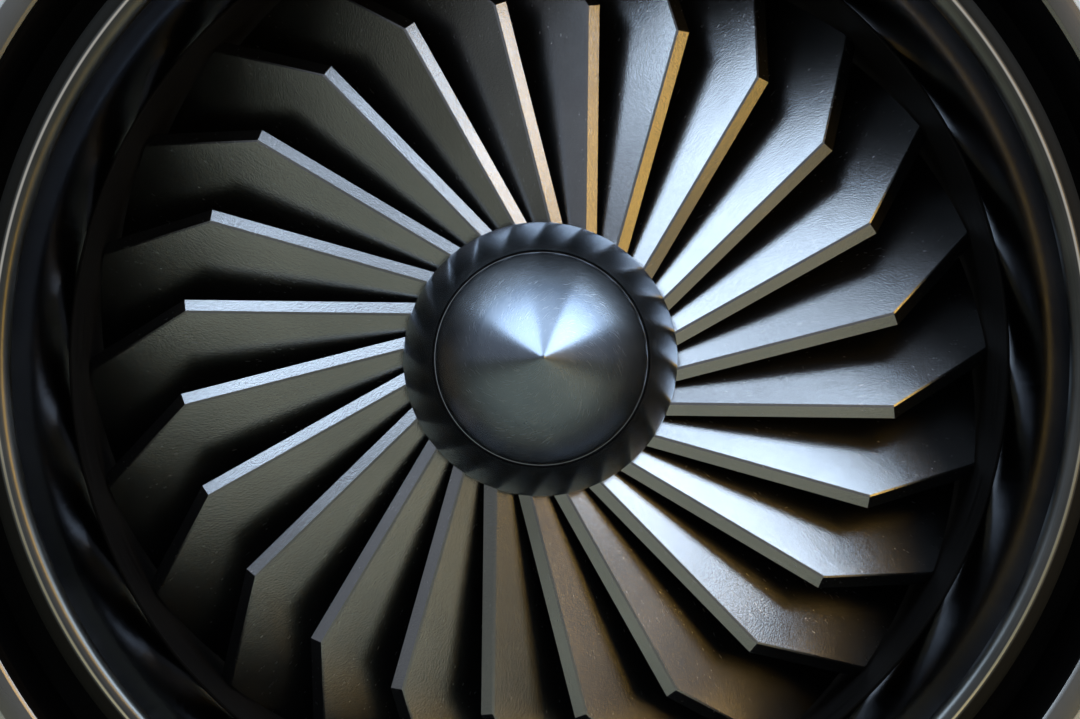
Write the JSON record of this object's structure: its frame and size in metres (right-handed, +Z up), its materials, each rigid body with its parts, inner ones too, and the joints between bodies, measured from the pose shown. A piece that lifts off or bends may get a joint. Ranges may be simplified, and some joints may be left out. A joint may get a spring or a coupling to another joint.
{
  "type": "turbofan engine",
  "caption": "Twin-spool turbofan engine in its nacelle: kinked slab fan blades round a pointed spinner, polished intake lip, hinged cowl doors, bypass and core nozzles.",
  "frame": {"origin": "centre of the top face of the front mount's pad", "axes": "+Z up out of the front mount's pad, +Y along the engine's axis towards the exhaust, so the intake faces -Y"},
  "size_m": [2.2, 2.6986, 2.29],
  "materials": {
    "blade_metal": "brushed",
    "dark_metal": "satin",
    "steel": "satin",
    "polished_steel": "polished",
    "hot_metal": "heat tinted",
    "liner_black": "matt",
    "cowl_grey": "satin",
    "cast_alloy": "cast"
  },
  "bodies": {
    "nacelle": {"inlet_lip_ring": "polished_steel", "intake_duct": "dark_metal", "outer_lip_ring": "cowl_grey", "intake_outer_skin": "cowl_grey", "forward_bulkhead": "liner_black", "aft_bulkhead": "cowl_grey", "fan_case": "dark_metal", "fan_case_liner": "liner_black", "flange_bolts": "steel", "exit_guide_vanes": "blade_metal", "fan_frame": "dark_metal", "core_frame": "dark_metal", "core_splitter": "dark_metal", "booster_case": "steel", "compressor_case": "steel", "combustor_case": "hot_metal", "combustor_liner": "hot_metal", "fuel_nozzles": "steel", "fuel_manifold": "steel", "igniters": "steel", "turbine_nozzle_ring": "hot_metal", "turbine_case": "hot_metal", "turbine_rear_frame": "hot_metal", "core_nozzle": "hot_metal", "exhaust_plug": "hot_metal", "core_cowl": "cowl_grey", "bypass_duct_wall": "cowl_grey", "rear_cowl": "cowl_grey", "front_bearing_support": "steel", "front_bearing_race": "steel", "middle_bearing_race": "steel", "rear_bearing_race": "steel", "hinge_beam": "cowl_grey", "front_mount": "steel", "rear_mount": "steel", "accessory_gearbox": "cast_alloy", "generator": "cast_alloy", "starter_motor": "steel", "fuel_pump": "cast_alloy", "oil_tank": "cast_alloy", "control_unit": "dark_metal", "gearbox_drive_tube": "steel", "oil_pipes": "steel", "hinge_pins": "steel"},
    "fan_spool": {"spinner_cone": "dark_metal", "spinner_ring": "dark_metal", "fan_blades": "blade_metal", "fan_hub": "dark_metal", "booster_rotor": "blade_metal", "fan_shaft": "steel", "fan_turbine_rotor": "hot_metal", "front_bearing_balls": "steel", "rear_bearing_rollers": "steel"},
    "core_spool": {"compressor_rotor": "blade_metal", "core_shaft": "steel", "core_turbine_rotor": "hot_metal", "middle_bearing_balls": "steel"},
    "left_door": {"left_cowl_door": "cowl_grey"},
    "right_door": {"right_cowl_door": "cowl_grey"}
  },
  "joints": [
    {"name": "fan_spool_spin", "type": "hinge", "parent": "nacelle", "child": "fan_spool", "pos_m": [0, 0, -1.19], "axis": [0, 1, 0], "continuous": true},
    {"name": "core_spool_spin", "type": "hinge", "parent": "nacelle", "child": "core_spool", "pos_m": [0, 0, -1.19], "axis": [0, 1, 0], "continuous": true},
    {"name": "left_door_hinge", "type": "hinge", "parent": "nacelle", "child": "left_door", "pos_m": [-0.15, 0, -0.10028], "axis": [0, 1, 0], "range_deg": [0, 50]},
    {"name": "right_door_hinge", "type": "hinge", "parent": "nacelle", "child": "right_door", "pos_m": [0.15, 0, -0.10028], "axis": [0, -1, 0], "range_deg": [0, 50]}
  ]
}
